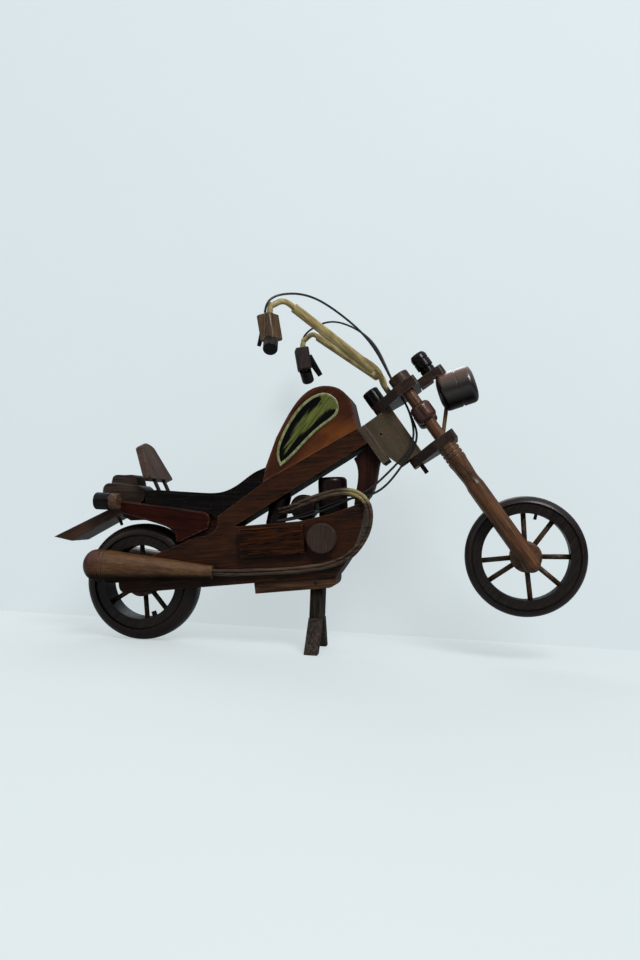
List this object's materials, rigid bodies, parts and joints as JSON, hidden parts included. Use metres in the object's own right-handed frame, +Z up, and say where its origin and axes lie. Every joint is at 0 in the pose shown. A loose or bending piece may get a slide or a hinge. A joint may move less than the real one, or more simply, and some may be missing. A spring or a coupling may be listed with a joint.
{
  "type": "toy motorcycle",
  "caption": "Carved wooden toy chopper on a folding stand, with turning wheels, steering fork, high handlebar, teardrop tank, twin pipes and a backrest.",
  "frame": {"origin": "centre of the bounding box in plan, at floor level, with the bike resting on its two stand feet and rear tyre", "axes": "+X to the front of the bike, +Y to its left side, +Z up"},
  "size_m": [0.27, 0.1028, 0.1737],
  "materials": {
    "frame_wood": "dark brown stain under satin varnish",
    "orange_wood": "orange-brown stain under gloss varnish",
    "red_wood": "reddish-brown stain, satin",
    "raw_wood": "grey-tan wood, thin finish",
    "fork_wood": "dark brown stain, satin",
    "black_lacquer": "black gloss lacquer on wood",
    "wheel_black": "brown-black stain on turned wood",
    "hub_wood": "dark turned wood",
    "bamboo": "stained bamboo stick",
    "rattan": "pale gold cane, varnished",
    "dark_peg": "black stained peg",
    "cord": "black coated cord",
    "gold_emblem": "gold and black painted inlay"
  },
  "bodies": {
    "frame": {"air_cleaner": "frame_wood", "backrest_pad": "raw_wood", "backrest_pins": "raw_wood", "belly_block": "frame_wood", "cables_lower": "cord", "down_tube": "frame_wood", "exhaust_pipe_left": "rattan", "exhaust_pipe_right": "rattan", "fender_pin": "dark_peg", "front_cylinder": "frame_wood", "fuel_tank": "orange_wood", "gearbox_block_left": "orange_wood", "gearbox_block_right": "orange_wood", "headstock_block": "raw_wood", "main_frame": "frame_wood", "muffler_left": "orange_wood", "muffler_right": "orange_wood", "rear_axle": "bamboo", "rear_cylinder": "frame_wood", "rear_fender": "frame_wood", "round_covers": "orange_wood", "seat": "black_lacquer", "side_panel_left": "red_wood", "side_panel_right": "red_wood", "stand_pin": "bamboo", "tail_block": "frame_wood", "tail_lamp_bases": "frame_wood", "tail_lamps": "black_lacquer", "tank_emblems": "gold_emblem"},
    "stand": {"stand_post": "raw_wood", "stand_foot_right": "raw_wood", "stand_foot_left": "raw_wood"},
    "rear_wheel": {"rear_hub": "hub_wood", "rear_spokes": "bamboo", "rear_wheel_ring": "wheel_black", "rear_valve_peg": "dark_peg"},
    "front_wheel": {"front_hub": "hub_wood", "front_spokes": "bamboo", "front_wheel_ring": "wheel_black", "front_valve_peg": "dark_peg"},
    "steering": {"cables_upper": "cord", "fork_beads": "red_wood", "fork_caps": "fork_wood", "fork_leg_left": "fork_wood", "fork_leg_right": "fork_wood", "front_axle": "bamboo", "gauge": "fork_wood", "grip_block_left": "fork_wood", "grip_block_right": "fork_wood", "grips": "black_lacquer", "handlebar_left": "rattan", "handlebar_right": "rattan", "headlight": "fork_wood", "headlight_bracket": "fork_wood", "headlight_strut": "bamboo", "levers": "black_lacquer", "lower_fork_plate": "fork_wood", "steering_stem": "bamboo", "stem_knob": "black_lacquer", "upper_fork_plate": "fork_wood"}
  },
  "joints": [
    {"name": "steering_turn", "type": "hinge", "parent": "frame", "child": "steering", "pos_m": [0.043, 0, 0.1095], "axis": [-0.6018, 0, 0.7986], "range_deg": [-35, 35]},
    {"name": "front_wheel_spin", "type": "hinge", "parent": "steering", "child": "front_wheel", "pos_m": [0.1057, 0, 0.052], "axis": [0, 1, 0], "continuous": true},
    {"name": "rear_wheel_spin", "type": "hinge", "parent": "frame", "child": "rear_wheel", "pos_m": [-0.088, 0, 0.03], "axis": [0, 1, 0], "continuous": true},
    {"name": "stand_fold", "type": "hinge", "parent": "frame", "child": "stand", "pos_m": [0.0042, 0, 0.0344], "axis": [0, 1, 0], "range_deg": [0, 60]}
  ]
}
